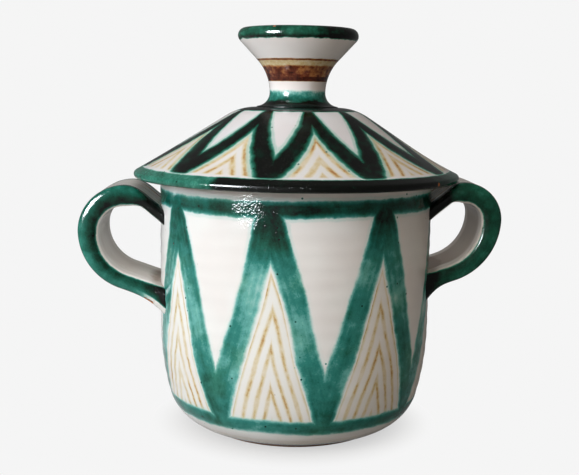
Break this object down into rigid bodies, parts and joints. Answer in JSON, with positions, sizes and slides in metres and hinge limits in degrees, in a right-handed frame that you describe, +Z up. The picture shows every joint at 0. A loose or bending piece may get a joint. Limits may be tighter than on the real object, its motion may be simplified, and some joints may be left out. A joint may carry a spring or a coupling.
{
  "type": "covered stew pot",
  "caption": "Covered earthenware stew pot with a conical lift-off lid, a flared trumpet knob and wide strap loop handles, glazed white with brushed green and ochre bands.",
  "frame": {"origin": "on the table plane, on the pot's turning axis", "axes": "+Z up along the turning axis, +X towards the right handle as seen in the picture, +Y away from the picture's viewer"},
  "size_m": [0.2314, 0.1808, 0.2222],
  "materials": {
    "pot_glaze": "glossy tin-white glaze with brushed green and ochre bands",
    "handle_glaze": "glossy tin-white glaze with green edges",
    "lid_glaze": "glossy tin-white glaze with brushed green and ochre bands",
    "flange_glaze": "thin white glaze worn at the lower edge",
    "knob_glaze": "glossy white, brown and green bands"
  },
  "bodies": {
    "pot": {"pot_body": "pot_glaze", "left_handle": "handle_glaze", "right_handle": "handle_glaze"},
    "lid": {"lid_shell": "lid_glaze", "lid_flange": "flange_glaze", "lid_knob": "knob_glaze"}
  },
  "joints": [
    {"name": "lid_lift", "type": "slide", "parent": "pot", "child": "lid", "axis": [0, 0, 1], "range_m": [0, 0.15]}
  ]
}
